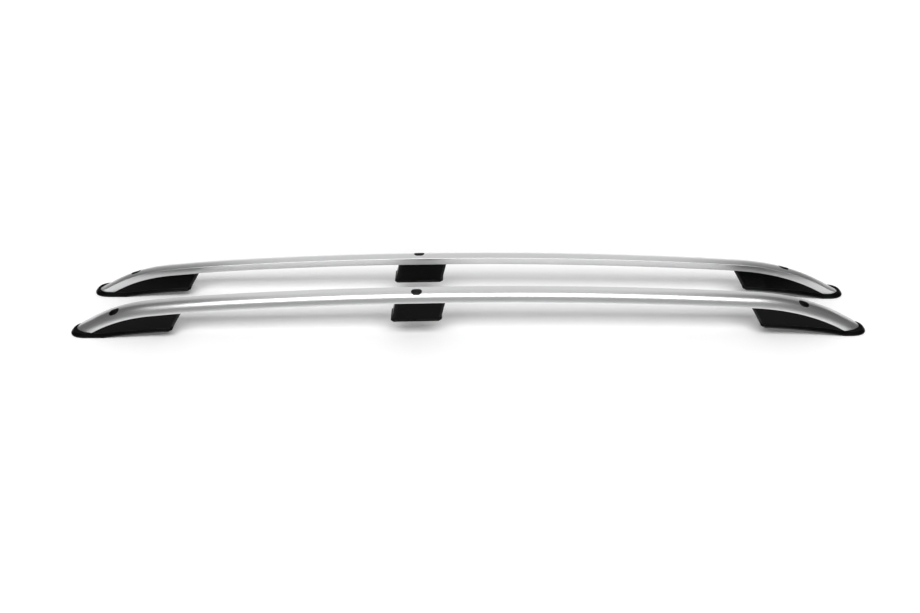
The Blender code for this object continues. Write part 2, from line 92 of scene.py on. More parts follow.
# Feet
FOOT_LENGTH = {-1: 0.1255, 1: 0.0886}
FOOT_WALL = 0.003
FOOT_DRAFT = math.radians(5.5)
FOOT_TUCK = 0.001
CORNER_CUT = (0.007, 0.006)
END_FOOT_LEAN = math.radians(34.0)
BODY_SETBACK = 0.0006
BODY_END_HEIGHT = 0.007
HOLLOW_END_HEIGHT = 0.016
MIDDLE_FOOT_LENGTH = 0.110
MIDDLE_FOOT_HEIGHT = 0.048
MIDDLE_FOOT_LEAN = math.radians(13.5)
MIDDLE_FOOT_SHIFT = 0.0025
MIDDLE_LIP = 0.0018
MIDDLE_LIP_HEIGHT = 0.0035
RIB_THICKNESS = 0.0025
TOP_IN_RAIL = 0.0025
MOULD_RADIUS = 0.0014
RIM_RADIUS = 0.0006
RIM_EASE = (RIM_RADIUS / 6, RIM_RADIUS / 8)

# Shoes and gaskets of the end feet
SHOE_SPREAD = 0.0078
SHOE_RIM_HEIGHT = 0.0038
SHOE_RIM_SETBACK = 0.0036
SHOE_TOP_SPREAD = 0.0012
SHOE_HEIGHT = 0.009
SHOE_END_DRAW = 0.3
NOSE_REACH = {-1: 0.0135, 1: 0.0144}
NOSE_LENGTH = 0.042
RAIL_TIP_LENGTH = 0.030
NOSE_POWER = 2.4
NOSE_END = 0.9995
FLAT_LENGTH = {-1: 0.079, 1: 0.053}
ROOF_RADIUS = 1.2
ROOF_END_SLOPE = math.radians(3.0)
GASKET_THICKNESS = 0.0025
GASKET_EDGE = GASKET_THICKNESS / 5
GASKET_SLOT_WIDTH = 0.020
GASKET_SLOT_MARGIN = 0.010
GASKET_SLOT_PAST_BOLT = 0.018

# Sleeves and screws
SLEEVE_DIAMETER = 0.013
SLEEVE_LIFT = 0.0012
SLEEVE_CHAMFER = 0.0005
SCREW_DIAMETER = 0.0039
SCREW_CORE = 0.0029
SCREW_PITCH = 0.0013
SCREW_REACH = 0.006
SCREW_HEAD_DIAMETER = 0.0085
SCREW_HEAD_HEIGHT = 0.0028
SCREW_SOCKET = 0.004
SCREW_EDGE = 0.0002
INNER_SCREW_FROM_BOLT = {-1: 0.0995, 1: 0.0571}
SCREW_FROM_BOLT = 0.024
MIDDLE_SCREW_FROM_BOLT = 0.030

# Shares of a screw's core, pitch and head
SCREW_POINT = 0.4
THREAD_FLANK = 0.3
THREAD_CREST = 0.1
HEAD_FLAT = 0.55
HEAD_RIM = 0.4
PLAIN_PITCHES = 2

# Clearance, and levels that follow from it
GAP = 0.0003
PAD_TOP = GASKET_THICKNESS + GAP
CEILING_DROP = RAIL_SKIRT_DROP + GAP + FOOT_WALL
SCREW_HEAD_TOP = -CEILING_DROP - GAP

# Fineness of arcs and outlines
SHOULDER_STEPS = 30
CROWN_STEPS = 8
EDGE_STEPS = 6
FOOT_EDGE_STEPS = 3
ROOF_STEPS = 40
BODY_STEPS = 60
NOSE_STEPS = 26
HOLE_STEPS = 28
HEAD_STEPS = 6
SETTLING_STEPS = 4
ROUNDING_STEPS = 3
ROUND_SIDES = 48
SCREW_SIDES = 32

# Angles from which an edge is rounded, or shaded as a sharp one
ROUNDED_FROM = math.radians(20)
SHARP_FROM = math.radians(30)
RAIL_SHARP_FROM = math.radians(24)

# How far cutting shapes reach past what they cut, and how close points are welded
OVERRUN = 0.04
WIDE = 2 * RAIL_WIDTH
WELD_DISTANCE = 0.000001

# The photograph's view
CAMERA_PLACE = (-0.020, -1.2775, 1.0954)
CAMERA_PITCH = math.radians(40.352)
CAMERA_LENS = 28.0
CAMERA_SENSOR = 36.0

# Floor; its glow grows outwards between two ovals, GLOW_REACH times GLOW_STRETCH
FLOOR_TONE = 0.95
FLOOR_ROUGHNESS = 0.9
FLOOR_SPECULAR = 0.1
FLOOR_SIZE = 40.0
FLOOR_GLOW = (0.04, 1.0)
GLOW_REACH = (1.02, 0.36)
GLOW_STRETCH = (0.5, 2.6)

# Studio walls: strength before and behind the rails, and the directions in which they fade
FILL_STRENGTH = 0.13
WALL_STRENGTH = (0.28, 0.88)
WALL_ROUND = (-0.6, 0.6)
WALL_ENDS = (0.4, 0.8)
WALL_TOP = (0.35, 0.65)

# The place that the softboxes face
LIT_PLACE = (0.0, 0.0, 0.1)

NAMES = {-1: "front", 0: "middle", 1: "rear"}


# Collections and small tools

def collection(name):
    made = bpy.data.collections.new(name)
    bpy.context.scene.collection.children.link(made)
    return made


SHOWN = collection("rail_pair_looks")
TOOLS = collection("shape_tools")


def linked(name, data, home):
    obj = bpy.data.objects.new(name, data)
    home.objects.link(obj)
    return obj


def tool(name, mesh):
    """A working object that is never shown."""
    obj = linked(name, mesh, TOOLS)
    obj.hide_render = True
    return obj


def evaluated_mesh(obj):
    """A plain mesh of an object with its modifiers applied."""
    depsgraph = bpy.context.evaluated_depsgraph_get()
    return bpy.data.meshes.new_from_object(obj.evaluated_get(depsgraph))


def closed(mesh):
    """Welds a mesh's doubles and turns its faces outwards."""
    bm = bmesh.new()
    bm.from_mesh(mesh)
    bmesh.ops.remove_doubles(bm, verts=bm.verts, dist=WELD_DISTANCE)
    bmesh.ops.recalc_face_normals(bm, faces=bm.faces)
    bm.to_mesh(mesh)
    bm.free()
    return mesh


def boolean(target, other, operation="DIFFERENCE"):
    """Cuts or joins; faces left by a cutter that has its own finish keep it."""
    modifier = target.modifiers.new(other.name, "BOOLEAN")
    modifier.operation = operation
    modifier.solver = "EXACT"
    modifier.object = other
    if any(other.data.materials):
        modifier.material_mode = "TRANSFER"


def rounded(obj, width):
    """Rounds a solid's sharp edges."""
    bevel = obj.modifiers.new("Rounding", "BEVEL")
    bevel.width = width
    bevel.segments = ROUNDING_STEPS
    bevel.limit_method = "ANGLE"
    bevel.angle_limit = ROUNDED_FROM
    bevel.use_clamp_overlap = True


# Side line of the rail, traced in short steps from the crown outwards

def trace(direction):
    x, z, slope = 0.0, CROWN_HEIGHT, 0.0
    line = [(x, z, slope)]
    while z > -OVERRUN:
        radius = [radius for start, radius in BENDS[direction] if x >= start][-1]
        turn = TRACE_STEP / radius if slope < END_SLOPE else 0.0
        x += TRACE_STEP * math.cos(slope + turn / 2)
        z -= TRACE_STEP * math.sin(slope + turn / 2)
        slope = min(slope + turn, END_SLOPE)
        line.append((x, z, slope))
    return np.array(line)


SIDE_LINE = {direction: trace(direction) for direction in (-1, 1)}


def rail_height(x):
    line = SIDE_LINE[-1 if x < 0 else 1]
    return float(np.interp(abs(x), line[:, 0], line[:, 1]))


def rail_slope(x):
    """Downward slope away from the crown, signed along X."""
    direction = -1 if x < 0 else 1
    line = SIDE_LINE[direction]
    return direction * float(np.interp(abs(x), line[:, 0], line[:, 2]))


def reach(direction, height):
    """Distance from the crown at which the underside comes down to a height."""
    line = SIDE_LINE[direction]
    return float(np.interp(-height, -line[:, 1], line[:, 0]))


def side_stations():
    """The whole side line, from the front end to the rear one."""
    front = [(-x, z) for x, z, slope in SIDE_LINE[-1][:0:-1]]
    return front + [(x, z) for x, z, slope in SIDE_LINE[1]]


TIP = {d: reach(d, SHOE_HEIGHT + GAP - CROWN_LINE / math.cos(END_SLOPE)) for d in (-1, 1)}
APEX = {d: TIP[d] + NOSE_REACH[d] for d in (-1, 1)}
INNER_END = {d: BOLT[d] - FOOT_LENGTH[d] for d in (-1, 1)}
FLAT_START = {d: APEX[d] - FLAT_LENGTH[d] for d in (-1, 1)}


def bolt_x(place):
    return place * BOLT[place] if place else BOLT[0]


def roof_height(direction, distance):
    """Height of the roof line under an end foot: an arc, then flat under the tip."""
    if distance >= FLAT_START[direction]:
        return 0.0
    first = math.sin(ROOF_END_SLOPE)
    here = first + (distance - INNER_END[direction]) / ROOF_RADIUS
    flat = first + (FLAT_START[direction] - INNER_END[direction]) / ROOF_RADIUS
    return ROOF_RADIUS * (math.sqrt(1 - here ** 2) - math.sqrt(1 - flat ** 2))


def middle_base(x):
    """Height of the middle foot's underside, which runs along the rail above it."""
    fall = (x - BOLT[0]) * math.tan(rail_slope(BOLT[0]))
    return rail_height(BOLT[0]) - MIDDLE_FOOT_HEIGHT - fall


# Rail section

def corner(y, z, radius, start, end, steps):
    """Points round a centre; a corner without radius is one point."""
    if radius <= 0:
        return [(y, z)]
    turns = [math.radians(start + (end - start) * i / steps) for i in range(steps + 1)]
    return [(y + radius * math.cos(turn), z + radius * math.sin(turn)) for turn in turns]


def rail_section(inset):
    """Outline of the rail, or of its cavity, with Y outwards and Z above the underside.

    The outer shoulder is part of an ellipse whose centre is SHOULDER_DROP below the skirt, so
    the flank leans in a little from its foot upwards.
    """
    inner = -HALF_WIDTH + inset
    crown_y = -HALF_WIDTH + RAIL_CROWN_INSET
    low = RAIL_SKIRT_DROP + SHOULDER_DROP
    spread = math.sqrt(1 - (SHOULDER_DROP / (CROWN_LINE + low)) ** 2)
    wide = (HALF_WIDTH - crown_y) / spread - inset
    tall = CROWN_LINE + low - inset
    edge = max(RAIL_EDGE_RADIUS - inset, 0.0)
    foot = max(RAIL_FOOT_RADIUS - inset, 0.0)
    widest = math.acos((SHOULDER_DROP + inset + foot) / tall)
    points = []
    if foot > 0:
        points.append((crown_y + wide * math.sin(widest) - foot, inset - RAIL_SKIRT_DROP))
    for i in range(SHOULDER_STEPS + 1):
        angle = widest * (1 - i / SHOULDER_STEPS)
        points.append((crown_y + wide * math.sin(angle), tall * math.cos(angle) - low))
    flank = inner + edge
    for i in range(1, CROWN_STEPS):
        share = i / CROWN_STEPS
        points.append((crown_y + (flank - crown_y) * share,
                       CROWN_LINE - inset - RAIL_CROWN_RISE * share ** 2))
    points += corner(flank, RAIL_FACE_HEIGHT - inset - edge, edge, 90, 180, EDGE_STEPS)
    points += corner(inner + foot, inset + foot, foot, 180, 270, FOOT_EDGE_STEPS)
    return points


# Node tree that sweeps a section along a line; it also lays a map along the length and round it

def new_tree(name, sockets):
    tree = bpy.data.node_groups.new(name, "GeometryNodeTree")
    for label, kind in sockets:
        tree.interface.new_socket(label, in_out="INPUT", socket_type=kind)
    tree.interface.new_socket("Geometry", in_out="OUTPUT", socket_type="NodeSocketGeometry")
    tree.is_modifier = True
    return tree, tree.nodes.new("NodeGroupInput"), tree.nodes.new("NodeGroupOutput")


def add(tree, kind, **settings):
    node = tree.nodes.new(kind)
    for key, value in settings.items():
        setattr(node, key, value)
    return node


def sweep_tree():
    tree, given, out = new_tree("section_sweep", (
        ("Geometry", "NodeSocketGeometry"), ("Section", "NodeSocketObject"),
        ("Material", "NodeSocketMaterial")))
    link = tree.links.new
    line = add(tree, "GeometryNodeMeshToCurve")
    upright = add(tree, "GeometryNodeSetCurveNormal", mode="Z_UP")
    along = add(tree, "GeometryNodeSplineParameter")
    keep_along = add(tree, "GeometryNodeCaptureAttribute", domain="POINT")
    keep_along.capture_items.new("FLOAT", "Along")
    section = add(tree, "GeometryNodeObjectInfo")
    outline = add(tree, "GeometryNodeMeshToCurve")
    round_it = add(tree, "GeometryNodeSplineParameter")
    keep_round = add(tree, "GeometryNodeCaptureAttribute", domain="POINT")
    keep_round.capture_items.new("FLOAT", "Round")
    swept = add(tree, "GeometryNodeCurveToMesh")
    swept.inputs["Fill Caps"].default_value = True
    pair = add(tree, "ShaderNodeCombineXYZ")
    mapped = add(tree, "GeometryNodeStoreNamedAttribute", data_type="FLOAT2", domain="CORNER")
    mapped.inputs["Name"].default_value = "finish_map"
    real = add(tree, "GeometryNodeRealizeInstances")
    dressed = add(tree, "GeometryNodeSetMaterial")
    link(given.outputs["Geometry"], line.inputs["Mesh"])
    link(line.outputs["Curve"], upright.inputs["Curve"])
    link(upright.outputs["Curve"], keep_along.inputs["Geometry"])
    link(along.outputs["Length"], keep_along.inputs["Along"])
    link(given.outputs["Section"], section.inputs["Object"])
    link(section.outputs["Geometry"], outline.inputs["Mesh"])
    link(outline.outputs["Curve"], keep_round.inputs["Geometry"])
    link(round_it.outputs["Length"], keep_round.inputs["Round"])
    link(keep_along.outputs["Geometry"], swept.inputs["Curve"])
    link(keep_round.outputs["Geometry"], swept.inputs["Profile Curve"])
    link(keep_along.outputs["Along"], pair.inputs["X"])
    link(keep_round.outputs["Round"], pair.inputs["Y"])
    link(swept.outputs["Mesh"], mapped.inputs["Geometry"])
    link(pair.outputs["Vector"], mapped.inputs["Value"])
    link(mapped.outputs["Geometry"], real.inputs["Geometry"])
    link(real.outputs["Geometry"], dressed.inputs["Geometry"])
    link(given.outputs["Material"], dressed.inputs["Material"])
    link(dressed.outputs["Geometry"], out.inputs["Geometry"])
    return tree


def set_inputs(modifier, **values):
    """Sets a node tree's inputs by their labels, through the identifiers of their sockets."""
    for item in modifier.node_group.interface.items_tree:
        if item.item_type == "SOCKET" and item.in_out == "INPUT" and item.name in values:
            modifier[item.identifier] = values[item.name]


def wire(name, points, cyclic):
    """A line of edges through points."""
    mesh = bpy.data.meshes.new(name)
    edges = [(i, i + 1) for i in range(len(points) - 1)]
    if cyclic:
        edges.append((len(points) - 1, 0))
    mesh.from_pydata(points, edges, [])
    return mesh


SWEEP_TREE = sweep_tree()


def sweep(name, section, material=None):
    """A section swept along the whole side line, as a closed solid."""
    outline = tool(name + "_section", wire(name, [(-y, -z, 0.0) for y, z in section], True))
    path = tool(name + "_line", wire(name, [(x, 0.0, z) for x, z in side_stations()], False))
    modifier = path.modifiers.new("Sweep", "NODES")
    modifier.node_group = SWEEP_TREE
    set_inputs(modifier, Section=outline, Material=material)
    mesh = closed(evaluated_mesh(path))
    bpy.data.objects.remove(path)
    bpy.data.objects.remove(outline)
    return tool(name, mesh)


# Prisms, turned pieces and layered solids

def prism(name, outline, low, high):
    """A flat outline raised between two heights."""
    mesh = bpy.data.meshes.new(name)
    bm = bmesh.new()
    face = bm.faces.new([bm.verts.new((x, y, low)) for x, y in outline])
    grown = bmesh.ops.extrude_face_region(bm, geom=[face])["geom"]
    bmesh.ops.translate(bm, vec=(0.0, 0.0, high - low),
                        verts=[item for item in grown if isinstance(item, bmesh.types.BMVert)])
    bmesh.ops.recalc_face_normals(bm, faces=bm.faces)
    bm.to_mesh(mesh)
    bm.free()
    return tool(name, mesh)


def turned(name, profile, matrix, sides=ROUND_SIDES):
    """A profile of (radius, height) points turned about an upright axis."""
    bm = bmesh.new()
    verts = [bm.verts.new((radius, 0.0, height)) for radius, height in profile]
    edges = [bm.edges.new(pair) for pair in zip(verts, verts[1:])]
    if profile[0][0] > 0:
        edges.append(bm.edges.new((verts[-1], verts[0])))
    bmesh.ops.spin(bm, geom=verts + edges, cent=(0.0, 0.0, 0.0), axis=(0.0, 0.0, 1.0),
                   angle=2 * math.pi, steps=sides, use_merge=True)
    mesh = bpy.data.meshes.new(name)
    bm.to_mesh(mesh)
    bm.free()
    closed(mesh)
    mesh.transform(matrix)
    return tool(name, mesh)


def layered(name, levels):
    """A solid through stacked outlines; a level lists (x, inner y, outer y, z) stations."""
    bm = bmesh.new()
    rings = []
    for level in levels:
        right = [bm.verts.new((x, inner, z)) for x, inner, outer, z in level]
        left = [bm.verts.new((x, outer, z)) for x, inner, outer, z in level]
        rings.append(right + left[::-1])
    count = len(levels[0])
    for below, above in zip(rings, rings[1:]):
        for i in range(len(below)):
            bm.faces.new((below[i - 1], below[i], above[i], above[i - 1]))
    for ring in (rings[0], rings[-1]):
        for i in range(count - 1):
            bm.faces.new((ring[i], ring[i + 1], ring[-2 - i], ring[-1 - i]))
    bmesh.ops.recalc_face_normals(bm, faces=bm.faces)
    mesh = bpy.data.meshes.new(name)
    bm.to_mesh(mesh)
    bm.free()
    return tool(name, mesh)


def obround(centre_x, length, width):
    """Outline of a slot with round ends, along X, or of a circle where it is as long as wide."""
    radius = width / 2
    run = length / 2 - radius
    points = []
    for side in (1, -1):
        for i in range(HOLE_STEPS + 1):
            angle = math.pi * i / HOLE_STEPS - math.pi / 2
            points.append((centre_x + side * (run + radius * math.cos(angle)),
                           side * radius * math.sin(angle)))
    if run <= 0:
        points = points[:HOLE_STEPS] + points[HOLE_STEPS + 1:-1]
    return points


def band(start, end):
    """Outline of a stretch of the rail's length, wider than any piece."""
    return [(start, -WIDE), (end, -WIDE), (end, WIDE), (start, WIDE)]


def nose_curve(half, length):
    """Points (distance, half width) from straight sides round to the end of a nose."""
    points = [(0.0, half)]
    for i in range(1, NOSE_STEPS + 1):
        share = NOSE_END * math.sin(math.pi / 2 * i / NOSE_STEPS)
        points.append((length * share, half * (1 - share ** NOSE_POWER) ** (1 / NOSE_POWER)))
    return points


# Screws, square to the rail above them

def foot_screws(place):
    """Places of a foot's two screws along the rail."""
    if place == 0:
        return (BOLT[0] - MIDDLE_SCREW_FROM_BOLT, BOLT[0] + MIDDLE_SCREW_FROM_BOLT)
    distances = (INNER_SCREW_FROM_BOLT[place], SCREW_FROM_BOLT)
    return tuple(place * (BOLT[place] - distance) for distance in distances)


def screw_frame(x):
    """Frame of a screw: on the rail's underside and square to it."""
    return Matrix.Translation((x, 0.0, rail_height(x))) @ Matrix.Rotation(rail_slope(x), 4, "Y")


def bore_screws(target, place):
    """Holes for the shanks of a foot's screws."""
    radius = SCREW_DIAMETER / 2 + GAP
    top = RAIL_WALL + SCREW_REACH / 2
    profile = [(0.0, top), (radius, top), (radius, SCREW_HEAD_TOP), (0.0, SCREW_HEAD_TOP)]
    for x in foot_screws(place):
        boolean(target, turned(target.name + "_screw_bore", profile, screw_frame(x)))


def screw():
    """One self-tapping screw: ringed thread, dull point, domed head and hexagon socket."""
    full, core, head = SCREW_DIAMETER / 2, SCREW_CORE / 2, SCREW_HEAD_DIAMETER / 2
    tip = RAIL_WALL + SCREW_REACH
    profile = [(0.0, tip), (core * SCREW_POINT, tip - SCREW_EDGE), (core, tip - SCREW_PITCH)]
    flank, crest = SCREW_PITCH * THREAD_FLANK, SCREW_PITCH * THREAD_CREST
    rings = int((tip - SCREW_HEAD_TOP) / SCREW_PITCH) - PLAIN_PITCHES
    for i in range(rings):
        height = tip - (i + 1) * SCREW_PITCH - SCREW_PITCH / 2
        profile += [(core, height + flank), (full, height), (full, height - crest),
                    (core, height - flank)]
    profile += [(core, SCREW_HEAD_TOP), (head - SCREW_EDGE, SCREW_HEAD_TOP),
                (head, SCREW_HEAD_TOP - SCREW_EDGE)]
    for i in range(HEAD_STEPS + 1):
        angle = math.pi / 2 * i / HEAD_STEPS
        depth = SCREW_HEAD_HEIGHT * (HEAD_RIM + (1 - HEAD_RIM) * math.sin(angle))
        profile.append((head * (HEAD_FLAT + (1 - HEAD_FLAT) * math.cos(angle)),
                        SCREW_HEAD_TOP - depth))
    profile.append((0.0, SCREW_HEAD_TOP - SCREW_HEAD_HEIGHT))
    body = turned("screw", profile, Matrix(), SCREW_SIDES)
    radius = SCREW_SOCKET / math.sqrt(3)
    turns = [math.pi / 3 * i for i in range(6)]
    hexagon = [(radius * math.cos(turn), radius * math.sin(turn)) for turn in turns]
    boolean(body, prism("screw_socket", hexagon, SCREW_HEAD_TOP - 2 * SCREW_HEAD_HEIGHT,
                        SCREW_HEAD_TOP - SCREW_HEAD_HEIGHT * HEAD_RIM))
    return tool("screw_pattern", evaluated_mesh(body))


def screw_set():
    """All the screws as one piece: a pattern screw set on points that carry their own turn."""
    model = screw()
    tree, given, out = new_tree("screw_set", (
        ("Geometry", "NodeSocketGeometry"), ("Screw", "NodeSocketObject"),
        ("Material", "NodeSocketMaterial")))
    link = tree.links.new
    pattern = add(tree, "GeometryNodeObjectInfo")
    pattern.inputs["As Instance"].default_value = True
    turn = add(tree, "GeometryNodeInputNamedAttribute", data_type="FLOAT_VECTOR")
    turn.inputs["Name"].default_value = "turn"
    placed = add(tree, "GeometryNodeInstanceOnPoints")
    real = add(tree, "GeometryNodeRealizeInstances")
    dressed = add(tree, "GeometryNodeSetMaterial")
    link(given.outputs["Geometry"], placed.inputs["Points"])
    link(given.outputs["Screw"], pattern.inputs["Object"])
    link(pattern.outputs["Geometry"], placed.inputs["Instance"])
    link(turn.outputs["Attribute"], placed.inputs["Rotation"])
    link(placed.outputs["Instances"], real.inputs["Geometry"])
    link(real.outputs["Geometry"], dressed.inputs["Geometry"])
    link(given.outputs["Material"], dressed.inputs["Material"])
    link(dressed.outputs["Geometry"], out.inputs["Geometry"])
    frames = [side_frame(side) @ screw_frame(x) for side in SIDES.values()
              for place in NAMES for x in foot_screws(place)]
    mesh = wire("screw_places", [tuple(item.translation) for item in frames], False)
    turns = mesh.attributes.new("turn", "FLOAT_VECTOR", "POINT")
    for item, value in zip(turns.data, frames):
        item.vector = tuple(value.to_euler())
    places = tool("screw_places", mesh)
    modifier = places.modifiers.new("Screws", "NODES")
    modifier.node_group = tree
    set_inputs(modifier, Screw=model, Material=FINISH["zinc_steel"])
    return closed(evaluated_mesh(places))


def sleeve(place):
    """Steel tube round a bolt way, with chamfered ends, cut to lie under the rail."""
    x = bolt_x(place)
    underside = roof_height(place, BOLT[place]) + PAD_TOP if place else middle_base(x)
    base = underside + SLEEVE_LIFT
    top = rail_height(x) + RAIL_FACE_HEIGHT / 2
    outer, bore = SLEEVE_DIAMETER / 2, BOLT_HOLE_DIAMETER / 2
    profile = [(outer, top), (outer, base + SLEEVE_CHAMFER), (outer - SLEEVE_CHAMFER, base),
               (bore + SLEEVE_CHAMFER, base), (bore, base + SLEEVE_CHAMFER), (bore, top)]
    tube = turned(NAMES[place] + "_sleeve", profile, Matrix.Translation((x, 0.0, 0.0)))
    boolean(tube, ENVELOPE)
    return tube


# Rail

def round_tips(target, clearance):
    """Rounds both tips as seen from above, where they sit on their shoes."""
    for direction in (-1, 1):
        start = TIP[direction] - RAIL_TIP_LENGTH
        edge = nose_curve(HALF_WIDTH + clearance, RAIL_TIP_LENGTH + clearance)
        outline = [(start + distance, width) for distance, width in edge]
        outline += [(start + distance, -width) for distance, width in edge[::-1]]
        outline += band(start, TIP[direction] + OVERRUN)
        outline = [(direction * x, y) for x, y in outline]
        name = "%s_tip_%d" % (target.name, direction)
        boolean(target, prism(name, outline, -OVERRUN, 2 * OVERRUN))


def cut_seats(target, height):
    """Cuts both ends off level, at the height where they sit on their shoes."""
    far = max(APEX.values()) + 3 * OVERRUN
    boolean(target, prism(target.name + "_seats", band(-far, far), height - 4 * OVERRUN, height))


def rail_envelope():
    """The rail's outer form with its working gap, which the feet and sleeves are cut to."""
    envelope = sweep("rail_envelope", rail_section(-GAP))
    cut_seats(envelope, SHOE_HEIGHT - GAP)
    round_tips(envelope, GAP + GAP / 2)
    return envelope


def rail():
    """The hollow extrusion, cut to its seats and rounded tips, with all its holes."""
    body = sweep("rail", rail_section(0.0), FINISH["satin_aluminium"])
    cut_seats(body, SHOE_HEIGHT)
    round_tips(body, GAP / 2)
    # The cavity and the holes' walls take a dark grey finish: painted shade inside the rail.
    cavity = sweep("rail_cavity", rail_section(RAIL_WALL), FINISH["bare_inside"])
    round_tips(cavity, GAP / 2 - RAIL_WALL)
    boolean(body, cavity)
    for place, name in NAMES.items():
        x = bolt_x(place)
        height = rail_height(x)
        middle = height + CROWN_LINE / 2
        access = prism(name + "_access", obround(x, *ACCESS_HOLE), middle, middle + RAIL_WIDTH)
        bore = prism(name + "_bore", obround(x, BOLT_HOLE_DIAMETER, BOLT_HOLE_DIAMETER),
                     height - RAIL_WIDTH, middle)
        for cutter in (access, bore):
            cutter.data.materials.append(FINISH["bare_inside"])
            boolean(body, cutter)
        bore_screws(body, place)
    return body


# Feet

def shoe_outline(direction, inset, height):
    """Stations round the base of an end foot, drawn in from its widest outline, at one level."""
    half = HALF_WIDTH + SHOE_SPREAD - inset
    first = INNER_END[direction] - height * math.tan(END_FOOT_LEAN) + inset * SHOE_END_DRAW
    nose = APEX[direction] - NOSE_LENGTH
    straight = first + CORNER_CUT[0]
    places = [(first, half - CORNER_CUT[1])]
    for i in range(ROOF_STEPS + 1):
        places.append((straight + (FLAT_START[direction] - straight) * i / ROOF_STEPS, half))
    places += [(nose + run, width) for run, width in nose_curve(half, NOSE_LENGTH - inset)]
    return [(direction * d, -width, width, roof_height(direction, d) + height)
            for d, width in places]


def shoe_levels():
    """(inset, height) from the underside up over the rim to the ledge round the rail.

    The two points nearest the corner of the rim are eased inwards, which rounds it.
    """
    rim = PAD_TOP + SHOE_RIM_HEIGHT
    ledge = SHOE_SPREAD - SHOE_TOP_SPREAD
    flare = math.atan2(SHOE_RIM_SETBACK, SHOE_RIM_HEIGHT)
    slope = math.atan2(SHOE_HEIGHT - rim, ledge - SHOE_RIM_SETBACK)
    levels = [(RIM_RADIUS, PAD_TOP), (RIM_RADIUS / 3, PAD_TOP + RIM_RADIUS / 3),
              (RIM_RADIUS * math.tan(flare), PAD_TOP + RIM_RADIUS)]
    for run, ease in ((2 * RIM_RADIUS, 0.0), (RIM_RADIUS, RIM_EASE[0])):
        levels.append((SHOE_RIM_SETBACK - run * math.sin(flare) + ease,
                       rim - run * math.cos(flare)))
    for run, ease in ((RIM_RADIUS, RIM_EASE[1]), (2 * RIM_RADIUS, 0.0)):
        levels.append((SHOE_RIM_SETBACK + run * math.cos(slope),
                       rim + run * math.sin(slope) - ease))
    levels.append((ledge, SHOE_HEIGHT))
    return levels


def block_ceiling(direction, distance, drop):
    """Height of the line that runs along the rail at a drop below its underside."""
    x = direction * distance
    return rail_height(x) - drop / math.cos(rail_slope(x))


def end_block(name, direction, wall, low, drop, end):
    """Leaning body of an end foot, or its cavity where a wall draws it in.

    It rises from low above the roof line to drop below the rail's underside. Its inner end
    leans, and the place where that meets the rail is settled in a few rounds.
    """
    lean = math.tan(END_FOOT_LEAN)
    inner = INNER_END[direction] + BODY_SETBACK + wall / math.cos(END_FOOT_LEAN)
    foot_level = roof_height(direction, INNER_END[direction])
    base, top = [], []
    for i in range(BODY_STEPS + 2):
        start = inner + (CORNER_CUT[0] if i else 0.0)
        low_d = start + (foot_level - roof_height(direction, start) - low) * lean
        top_d = start
        for _ in range(SETTLING_STEPS):
            top_d = start + (foot_level - block_ceiling(direction, top_d, drop)) * lean
        share = max(i - 1, 0) / BODY_STEPS
        low_d += (end - low_d) * share
        top_d += (end - top_d) * share
        low_z = roof_height(direction, low_d) + low
        top_z = block_ceiling(direction, top_d, drop)
        top_half = HALF_WIDTH - FOOT_TUCK - wall - (0.0 if i else CORNER_CUT[1])
        low_half = top_half + (top_z - low_z) * math.tan(FOOT_DRAFT)
        base.append((direction * low_d, -low_half, low_half, low_z))
        top.append((direction * top_d, -top_half, top_half, top_z))
    return layered(name, [base, top])


def end_foot(direction):
    name = NAMES[direction]
    foot = layered(name + "_foot", [shoe_outline(direction, *level) for level in shoe_levels()])
    body = end_block(name + "_body", direction, wall=0.0,
                     low=PAD_TOP + SHOE_RIM_HEIGHT - 2 * GAP, drop=-TOP_IN_RAIL,
                     end=reach(direction, BODY_END_HEIGHT))
    rounded(body, MOULD_RADIUS)
    boolean(foot, body, "UNION")
    boolean(foot, ENVELOPE)
    cavity = end_block(name + "_cavity", direction, wall=FOOT_WALL, low=-SHOE_HEIGHT,
                       drop=CEILING_DROP, end=reach(direction, HOLLOW_END_HEIGHT))
    hollow_foot(foot, direction, cavity)
    return foot


def middle_outline(inset, height):
    """Stations round the middle foot at one height above its base."""
    centre = BOLT[0] - MIDDLE_FOOT_SHIFT + height * math.tan(MIDDLE_FOOT_LEAN)
    half_length = MIDDLE_FOOT_LENGTH / 2 - inset
    flank = half_length - CORNER_CUT[0]
    drop = MIDDLE_FOOT_HEIGHT + TOP_IN_RAIL - height
    half = HALF_WIDTH - FOOT_TUCK - inset + drop * math.tan(FOOT_DRAFT)
    places = [(-half_length, half - CORNER_CUT[1]), (-flank, half),
              (flank, half), (half_length, half - CORNER_CUT[1])]
    return [(centre + x, -width, width, middle_base(centre + x) + height) for x, width in places]


def middle_foot():
    foot = layered("middle_foot", [middle_outline(-MIDDLE_LIP, 0.0),
                                   middle_outline(-MIDDLE_LIP, MIDDLE_LIP_HEIGHT)])
    rounded(foot, RIM_RADIUS)
    body = layered("middle_body", [middle_outline(0.0, MIDDLE_LIP_HEIGHT / 2),
                                   middle_outline(0.0, MIDDLE_FOOT_HEIGHT + TOP_IN_RAIL)])
    rounded(body, MOULD_RADIUS)
    boolean(foot, body, "UNION")
    boolean(foot, ENVELOPE)
    ceiling = MIDDLE_FOOT_HEIGHT - CEILING_DROP
    cavity = layered("middle_cavity", [middle_outline(FOOT_WALL, -MIDDLE_LIP_HEIGHT),
                                       middle_outline(FOOT_WALL, ceiling)])
    hollow_foot(foot, 0, cavity)
    return foot


def column(name, x, radius):
    """Upright cylinder on the line of a bolt, taller than any foot."""
    height = rail_height(x)
    profile = [(0.0, 2 * height), (radius, 2 * height), (radius, -height), (0.0, -height)]
    return turned(name, profile, Matrix.Translation((x, 0.0, 0.0)))


